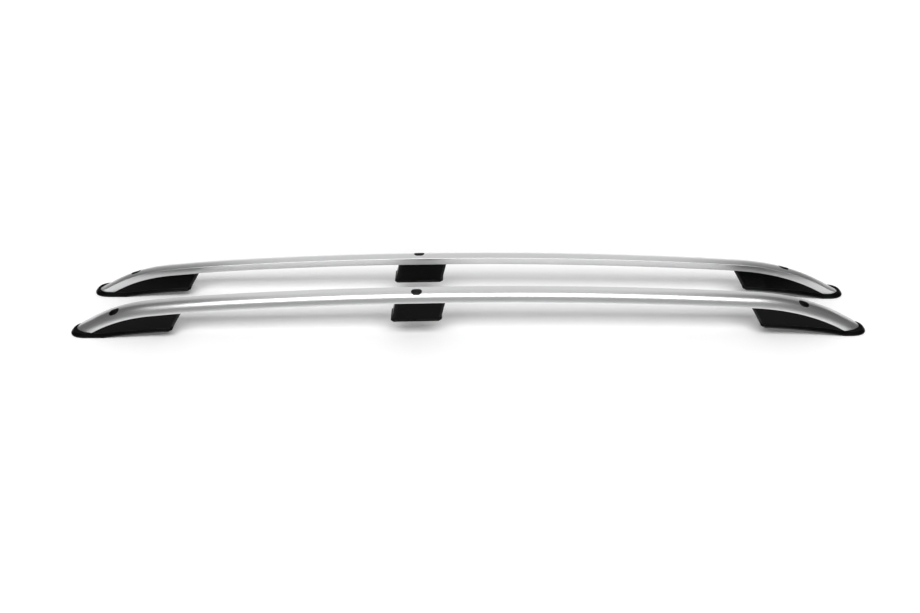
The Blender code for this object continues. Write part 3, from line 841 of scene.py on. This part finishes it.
def hollow_foot(foot, place, cavity):
    """Opens the foot from below, with ribs and a boss round the sleeve."""
    x = bolt_x(place)
    boss = SLEEVE_DIAMETER / 2 + GAP + FOOT_WALL
    beside = boss + RIB_THICKNESS
    ribs = [sum(foot_screws(place)) / 2] if place else [x - beside, x + beside]
    boolean(cavity, column(foot.name + "_boss", x, boss))
    for rib in ribs:
        plate = band(rib - RIB_THICKNESS / 2, rib + RIB_THICKNESS / 2)
        boolean(cavity, prism(foot.name + "_rib", plate, -OVERRUN, 4 * OVERRUN))
    boolean(foot, cavity)
    boolean(foot, column(foot.name + "_way", x, SLEEVE_DIAMETER / 2 + GAP))
    bore_screws(foot, place)


# Gaskets

def gasket(direction):
    """Rubber pad in the outline of its shoe, with eased edges and one long slot."""
    levels = ((GASKET_EDGE, 0.0), (0.0, GASKET_EDGE),
              (0.0, GASKET_THICKNESS - GASKET_EDGE), (GASKET_EDGE, GASKET_THICKNESS))
    pad = layered(NAMES[direction] + "_gasket",
                  [shoe_outline(direction, *level) for level in levels])
    start = INNER_END[direction] + GASKET_SLOT_MARGIN
    end = BOLT[direction] + GASKET_SLOT_PAST_BOLT
    slot = obround(direction * (start + end) / 2, end - start, GASKET_SLOT_WIDTH)
    boolean(pad, prism(pad.name + "_slot", slot, -OVERRUN, 2 * OVERRUN))
    return pad


# Effects that several finishes use, each a shader node group

# The swell's scale as a share of the grain's, and the ranges over which effects set in
SWELL_SCALE = 0.11
WORN_AND_HIGHLIT_NORMALS = (0.985, 0.90)
WORN_AND_HIGHLIT_NOISE = (0.30, 0.55)
DUSTY_NORMALS = (0.25, 0.95)
DUSTY_NOISE = (0.42, 0.70)
ROUGHNESS_NOISE = (0.25, 0.75)


def effect(name, inputs, output):
    tree = bpy.data.node_groups.new(name, "ShaderNodeTree")
    for label, kind, value in inputs:
        socket = tree.interface.new_socket(label, in_out="INPUT", socket_type=kind)
        if value is not None:
            socket.default_value = value
    tree.interface.new_socket(output, in_out="OUTPUT", socket_type="NodeSocketFloat")
    return tree, tree.nodes.new("NodeGroupInput"), tree.nodes.new("NodeGroupOutput")


def noise(tree, detail=2.0, roughness=0.5):
    node = add(tree, "ShaderNodeTexNoise")
    node.inputs["Detail"].default_value = detail
    node.inputs["Roughness"].default_value = roughness
    return node


def ranged(tree, low, high, out_low=0.0, out_high=1.0):
    node = add(tree, "ShaderNodeMapRange", interpolation_type="SMOOTHSTEP")
    ends = (("From Min", low), ("From Max", high), ("To Min", out_low), ("To Max", out_high))
    for label, value in ends:
        node.inputs[label].default_value = value
    return node


def times(tree, first, second):
    node = add(tree, "ShaderNodeMath", operation="MULTIPLY")
    tree.links.new(first, node.inputs[0])
    tree.links.new(second, node.inputs[1])
    return node.outputs[0]


def surface_grain():
    """Fine even grain of an etched or moulded surface, with a coarser swell under it."""
    tree, given, out = effect("surface_grain", (
        ("Vector", "NodeSocketVector", None), ("Scale", "NodeSocketFloat", 2000.0),
        ("Swell", "NodeSocketFloat", 0.3)), "Height")
    link = tree.links.new
    fine = noise(tree, detail=3.0, roughness=0.6)
    broad = noise(tree)
    slower = add(tree, "ShaderNodeMath", operation="MULTIPLY")
    slower.inputs[1].default_value = SWELL_SCALE
    both = add(tree, "ShaderNodeMix")
    link(given.outputs["Scale"], slower.inputs[0])
    link(given.outputs["Scale"], fine.inputs["Scale"])
    link(slower.outputs[0], broad.inputs["Scale"])
    for node in (fine, broad):
        link(given.outputs["Vector"], node.inputs["Vector"])
    link(given.outputs["Swell"], both.inputs["Factor"])
    link(fine.outputs["Fac"], both.inputs["A"])
    link(broad.outputs["Fac"], both.inputs["B"])
    link(both.outputs["Result"], out.inputs["Height"])
    return tree


def edge_rub():
    """Corners rubbed in handling on metal, and painted highlights along the corners of mouldings,
    broken up by noise.
    """
    tree, given, out = effect("edge_rub", (
        ("Vector", "NodeSocketVector", None), ("Width", "NodeSocketFloat", 0.001),
        ("Scale", "NodeSocketFloat", 120.0), ("Amount", "NodeSocketFloat", 0.4)), "Mask")
    link = tree.links.new
    eased = add(tree, "ShaderNodeBevel", samples=6)
    own = add(tree, "ShaderNodeNewGeometry")
    agree = add(tree, "ShaderNodeVectorMath", operation="DOT_PRODUCT")
    edge = ranged(tree, *WORN_AND_HIGHLIT_NORMALS)
    patchy = noise(tree, detail=4.0, roughness=0.7)
    worn_and_highlit_patches = ranged(tree, *WORN_AND_HIGHLIT_NOISE)
    link(given.outputs["Width"], eased.inputs["Radius"])
    link(eased.outputs["Normal"], agree.inputs[0])
    link(own.outputs["True Normal"], agree.inputs[1])
    link(agree.outputs["Value"], edge.inputs["Value"])
    link(given.outputs["Vector"], patchy.inputs["Vector"])
    link(given.outputs["Scale"], patchy.inputs["Scale"])
    link(patchy.outputs["Fac"], worn_and_highlit_patches.inputs["Value"])
    broken = times(tree, edge.outputs["Result"], worn_and_highlit_patches.outputs["Result"])
    link(times(tree, broken, given.outputs["Amount"]), out.inputs["Mask"])
    return tree


def settled_dust():
    """Thin dust on what faces up, in drifts and specks."""
    tree, given, out = effect("settled_dust", (
        ("Vector", "NodeSocketVector", None), ("Scale", "NodeSocketFloat", 40.0),
        ("Amount", "NodeSocketFloat", 0.2)), "Mask")
    link = tree.links.new
    own = add(tree, "ShaderNodeNewGeometry")
    parts = add(tree, "ShaderNodeSeparateXYZ")
    upward = ranged(tree, *DUSTY_NORMALS)
    drifts = noise(tree, detail=6.0, roughness=0.75)
    lying = ranged(tree, *DUSTY_NOISE)
    link(own.outputs["Normal"], parts.inputs["Vector"])
    link(parts.outputs["Z"], upward.inputs["Value"])
    link(given.outputs["Vector"], drifts.inputs["Vector"])
    link(given.outputs["Scale"], drifts.inputs["Scale"])
    link(drifts.outputs["Fac"], lying.inputs["Value"])
    there = times(tree, upward.outputs["Result"], lying.outputs["Result"])
    link(times(tree, there, given.outputs["Amount"]), out.inputs["Mask"])
    return tree


def die_lines():
    """Faint lines that the die leaves along an extrusion, from its own map."""
    tree, given, out = effect("die_lines", (
        ("Along", "NodeSocketFloat", 0.4), ("Round", "NodeSocketFloat", 2400.0)), "Lines")
    link = tree.links.new
    laid = add(tree, "ShaderNodeAttribute", attribute_name="finish_map")
    parts = add(tree, "ShaderNodeSeparateXYZ")
    drawn = add(tree, "ShaderNodeCombineXYZ")
    lines = noise(tree)
    lines.inputs["Scale"].default_value = 1.0
    link(laid.outputs["Vector"], parts.inputs["Vector"])
    link(times(tree, parts.outputs["X"], given.outputs["Along"]), drawn.inputs["X"])
    link(times(tree, parts.outputs["Y"], given.outputs["Round"]), drawn.inputs["Y"])
    link(drawn.outputs["Vector"], lines.inputs["Vector"])
    link(lines.outputs["Fac"], out.inputs["Lines"])
    return tree


GRAIN, EDGE_WEAR_AND_HIGHLIGHT, DUST, LINES = surface_grain(), edge_rub(), settled_dust(), die_lines()


# Finishes

# Places of the colour sockets on a Mix node
MIX_COLOURS = (6, 7)
MIX_RESULT = 2


class Finish:
    """A Principled material whose sockets are fed step by step."""

    def __init__(self, name, metallic, specular=0.5):
        self.material = bpy.data.materials.new(name)
        self.material.use_nodes = True
        self.tree = self.material.node_tree
        self.shader = self.tree.nodes["Principled BSDF"]
        self.shader.inputs["Metallic"].default_value = metallic
        self.shader.inputs["Specular IOR Level"].default_value = specular
        self.place = add(self.tree, "ShaderNodeTexCoord").outputs["Object"]

    def effect(self, group, **values):
        node = add(self.tree, "ShaderNodeGroup", node_tree=group)
        for label, value in values.items():
            node.inputs[label].default_value = value
        if "Vector" in node.inputs:
            self.tree.links.new(self.place, node.inputs["Vector"])
        return node.outputs[0]

    def blend(self, mask, first, second):
        """Mixes two colours, or a colour coming from another node with one, by a mask."""
        node = add(self.tree, "ShaderNodeMix", data_type="RGBA")
        self.tree.links.new(mask, node.inputs["Factor"])
        for place, value in zip(MIX_COLOURS, (first, second)):
            if isinstance(value, tuple):
                node.inputs[place].default_value = (*value, 1.0)
            else:
                self.tree.links.new(value, node.inputs[place])
        return node.outputs[MIX_RESULT]

    def roughness(self, mask, low, high):
        node = ranged(self.tree, *ROUGHNESS_NOISE, low, high)
        self.tree.links.new(mask, node.inputs["Value"])
        self.tree.links.new(node.outputs["Result"], self.shader.inputs["Roughness"])

    def colour(self, value):
        self.tree.links.new(value, self.shader.inputs["Base Color"])

    def relief(self, *layers):
        """Bumps laid on each other, as (height, depth in metres) pairs."""
        normal = None
        for height, depth in layers:
            bump = add(self.tree, "ShaderNodeBump")
            bump.inputs["Strength"].default_value = 1.0
            bump.inputs["Distance"].default_value = depth
            self.tree.links.new(height, bump.inputs["Height"])
            if normal:
                self.tree.links.new(normal, bump.inputs["Normal"])
            normal = bump.outputs["Normal"]
        self.tree.links.new(normal, self.shader.inputs["Normal"])
        return self.material


# Dust, depths of relief, and how much paler a moulding's swells are
DUST_COLOUR = (0.30, 0.29, 0.27)
DIE_LINE_DEPTH = 0.000010
ETCHED_DEPTH = 0.000005
SWELL_DEPTH = 0.000010
PLATED_DEPTH = 0.000004
SWELL_PALER = 1.5


def grey(tone):
    return (tone, tone, tone)


def extruded(name, light, dark, rubbed, roughness, dust):
    """Aluminium extrusion: lengthwise lines, etched grain, brighter rubbed edges."""
    finish = Finish(name, 1.0)
    lines = finish.effect(LINES, Along=0.4, Round=2400.0)
    grain = finish.effect(GRAIN, Scale=3200.0, Swell=0.35)
    worn_and_highlit_edges = finish.effect(EDGE_WEAR_AND_HIGHLIGHT, Width=0.0008, Scale=160.0, Amount=0.6)
    drift = finish.effect(GRAIN, Scale=60.0, Swell=0.8)
    base = finish.blend(drift, light, dark)
    base = finish.blend(lines, base, finish.blend(drift, dark, light))
    base = finish.blend(worn_and_highlit_edges, base, rubbed)
    finish.colour(finish.blend(finish.effect(DUST, Scale=70.0, Amount=dust), base, DUST_COLOUR))
    finish.roughness(lines, *roughness)
    return finish.relief((lines, DIE_LINE_DEPTH), (grain, ETCHED_DEPTH))


def moulded(name, deep, edge_highlight, roughness, specular, grain_scale, grain_depth, dust):
    """Moulded plastic or rubber: even grain, painted highlights along the corners and a little
    dust.
    """
    finish = Finish(name, 0.0, specular)
    grain = finish.effect(GRAIN, Scale=grain_scale, Swell=0.3)
    drift = finish.effect(GRAIN, Scale=90.0, Swell=0.7)
    worn_and_highlit_edges = finish.effect(EDGE_WEAR_AND_HIGHLIGHT, Width=0.0018, Scale=60.0, Amount=0.8)
    base = finish.blend(drift, deep, tuple(value * SWELL_PALER for value in deep))
    # A paler grey along the corners: painted highlight on the edges.
    base = finish.blend(worn_and_highlit_edges, base, edge_highlight)
    finish.colour(finish.blend(finish.effect(DUST, Scale=55.0, Amount=dust), base, DUST_COLOUR))
    finish.roughness(grain, *roughness)
    return finish.relief((drift, SWELL_DEPTH), (grain, grain_depth))


def plated(name):
    """Zinc plate: patches of its passivation, dulled where it has been handled."""
    finish = Finish(name, 1.0)
    patches = finish.effect(GRAIN, Scale=700.0, Swell=0.6)
    fine = finish.effect(GRAIN, Scale=5200.0, Swell=0.2)
    worn_and_highlit_edges = finish.effect(EDGE_WEAR_AND_HIGHLIGHT, Width=0.0004, Scale=500.0, Amount=0.5)
    base = finish.blend(patches, (0.60, 0.60, 0.58), (0.50, 0.50, 0.44))
    finish.colour(finish.blend(worn_and_highlit_edges, base, grey(0.72)))
    finish.roughness(patches, 0.28, 0.48)
    return finish.relief((fine, PLATED_DEPTH))


FINISH = {
    "satin_aluminium": extruded("satin_aluminium", light=(0.70, 0.70, 0.705),
                                dark=(0.65, 0.65, 0.655), rubbed=grey(0.82),
                                roughness=(0.27, 0.39), dust=0.05),
    # Dark grey for the inside of the rail and its holes: painted shade where the hollow lies in
    # shade.
    "bare_inside": extruded("bare_inside", light=grey(0.26), dark=grey(0.19),
                            rubbed=grey(0.40), roughness=(0.50, 0.65), dust=0.0),
    # The paler grey on the plastic's and the rubber's corners is a painted highlight.
    "black_plastic": moulded("black_plastic", deep=grey(0.0012), edge_highlight=grey(0.045),
                             roughness=(0.26, 0.38), specular=0.07, grain_scale=1900.0,
                             grain_depth=0.000014, dust=0.01),
    "rubber": moulded("rubber", deep=grey(0.009), edge_highlight=grey(0.028),
                      roughness=(0.62, 0.78), specular=0.25, grain_scale=1300.0,
                      grain_depth=0.000022, dust=0.08),
    "zinc_steel": plated("zinc_steel"),
}


# Setting the pieces on both sides

SIDES = {"right": 1, "left": -1}


def side_frame(side):
    """Where a rail's own frame stands on its side of the pair."""
    crown = Matrix.Translation((CROWN_X, side * RAIL_SPACING / 2, 0.0))
    return crown @ Matrix.Rotation(-side * TOE_ANGLE, 4, "Z")


def place_pair(name, source, slot, node, sharp_from=SHARP_FROM):
    """Makes the right side's piece from a worked-out shape, and the left's as its mirror."""
    for label, side in SIDES.items():
        mesh = evaluated_mesh(source)
        if side < 0:
            mesh.transform(Matrix.Diagonal((1.0, -1.0, 1.0, 1.0)))
            mesh.flip_normals()
        mesh.transform(side_frame(side))
        if not any(mesh.materials):
            mesh.materials.clear()
            mesh.materials.append(FINISH[slot])
        mesh.shade_smooth()
        mesh.set_sharp_from_angle(angle=sharp_from)
        piece = linked("%s_%s" % (label, name), mesh, SHOWN)
        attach(piece, "root")
        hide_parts("%s_%s" % (label, node))


ENVELOPE = rail_envelope()
place_pair("rail_bar", rail(), "satin_aluminium", "rail", RAIL_SHARP_FROM)
place_pair("middle_foot_moulding", middle_foot(), "black_plastic", "middle_foot")
for end in (-1, 1):
    end_name = NAMES[end]
    place_pair(end_name + "_foot_moulding", end_foot(end), "black_plastic", end_name + "_foot")
    place_pair(end_name + "_gasket_pad", gasket(end), "rubber", end_name + "_gasket")
for bolt, bolt_name in NAMES.items():
    place_pair(bolt_name + "_sleeve_tube", sleeve(bolt), "zinc_steel", bolt_name + "_sleeve")

screws = linked("foot_screws", screw_set(), SHOWN)
screws.data.shade_smooth()
screws.data.set_sharp_from_angle(angle=SHARP_FROM)
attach(screws, "root")
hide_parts(*[name for name in frame["nodes"] if "screw" in name])

for shape in list(TOOLS.objects):
    bpy.data.objects.remove(shape)
bpy.data.collections.remove(TOOLS)


# Floor, light and camera

def floor():
    """Pale floor; its glow whitens it for the camera and in reflections, and its shadows stay."""
    mesh = bpy.data.meshes.new("floor")
    far = FLOOR_SIZE / 2
    corners = [(-far, -far, 0), (far, -far, 0), (far, far, 0), (-far, far, 0)]
    mesh.from_pydata(corners, [], [(0, 1, 2, 3)])
    obj = linked("floor", mesh, SHOWN)
    material = bpy.data.materials.new("pale_floor")
    material.use_nodes = True
    tree = material.node_tree
    link = tree.links.new
    shader = tree.nodes["Principled BSDF"]
    shader.inputs["Base Color"].default_value = (*grey(FLOOR_TONE), 1.0)
    shader.inputs["Roughness"].default_value = FLOOR_ROUGHNESS
    shader.inputs["Specular IOR Level"].default_value = FLOOR_SPECULAR
    glow = add(tree, "ShaderNodeEmission")
    path = add(tree, "ShaderNodeLightPath")
    seen = path.outputs["Is Camera Ray"]
    for label in ("Is Glossy Ray", "Is Transmission Ray"):
        either = add(tree, "ShaderNodeMath", operation="MAXIMUM")
        link(seen, either.inputs[0])
        link(path.outputs[label], either.inputs[1])
        seen = either.outputs[0]
    place = add(tree, "ShaderNodeTexCoord")
    stretched = add(tree, "ShaderNodeMapping")
    stretched.inputs["Scale"].default_value = (1 / GLOW_REACH[0], 1 / GLOW_REACH[1], 1.0)
    away = add(tree, "ShaderNodeVectorMath", operation="LENGTH")
    outward = ranged(tree, *GLOW_STRETCH, *FLOOR_GLOW)
    total = add(tree, "ShaderNodeAddShader")
    link(place.outputs["Object"], stretched.inputs["Vector"])
    link(stretched.outputs["Vector"], away.inputs[0])
    link(away.outputs["Value"], outward.inputs["Value"])
    link(times(tree, seen, outward.outputs["Result"]), glow.inputs["Strength"])
    link(shader.outputs["BSDF"], total.inputs[0])
    link(glow.outputs["Emission"], total.inputs[1])
    link(total.outputs["Shader"], tree.nodes["Material Output"].inputs["Surface"])
    mesh.materials.append(material)


def world():
    """Soft studio: pale walls before and behind the rails, dimmer above and at their ends."""
    made = bpy.data.worlds.new("studio")
    bpy.context.scene.world = made
    made.use_nodes = True
    tree = made.node_tree
    link = tree.links.new
    background = tree.nodes["Background"]
    background.inputs["Color"].default_value = (1.0, 1.0, 1.0, 1.0)
    parts = add(tree, "ShaderNodeSeparateXYZ")
    sideways = add(tree, "ShaderNodeMath", operation="ABSOLUTE")
    facing = ranged(tree, *WALL_ENDS, 1.0, 0.0)
    low = ranged(tree, *WALL_TOP, 1.0, 0.0)
    wall = ranged(tree, *WALL_ROUND, *WALL_STRENGTH)
    total = add(tree, "ShaderNodeMath", operation="ADD")
    total.inputs[1].default_value = FILL_STRENGTH
    link(add(tree, "ShaderNodeTexCoord").outputs["Generated"], parts.inputs["Vector"])
    link(parts.outputs["X"], sideways.inputs[0])
    link(sideways.outputs[0], facing.inputs["Value"])
    link(parts.outputs["Z"], low.inputs["Value"])
    link(parts.outputs["Y"], wall.inputs["Value"])
    extent = times(tree, facing.outputs["Result"], low.outputs["Result"])
    link(times(tree, extent, wall.outputs["Result"]), total.inputs[0])
    link(total.outputs[0], background.inputs["Strength"])


def softbox(name, place, size, power):
    """A soft panel of light, turned to the rails."""
    light = bpy.data.lights.new(name, "AREA")
    light.shape = "RECTANGLE"
    light.size, light.size_y = size
    light.energy = power
    lamp = linked(name, light, SHOWN)
    lamp.location = place
    aim = Vector(LIT_PLACE) - Vector(place)
    lamp.rotation_euler = aim.to_track_quat("-Z", "Y").to_euler()


def camera():
    lens = bpy.data.cameras.new("photo_view")
    lens.lens = CAMERA_LENS
    lens.sensor_width = CAMERA_SENSOR
    obj = linked("photo_view", lens, SHOWN)
    obj.location = CAMERA_PLACE
    obj.rotation_euler = (math.pi / 2 - CAMERA_PITCH, 0.0, 0.0)
    bpy.context.scene.camera = obj


floor()
world()
softbox("in_front", place=(0.0, -1.02, 1.97), size=(3.4, 0.9), power=50)
softbox("behind", place=(0.0, 1.15, 2.1), size=(3.2, 2.6), power=19)
camera()
bpy.context.scene.view_settings.view_transform = "Standard"
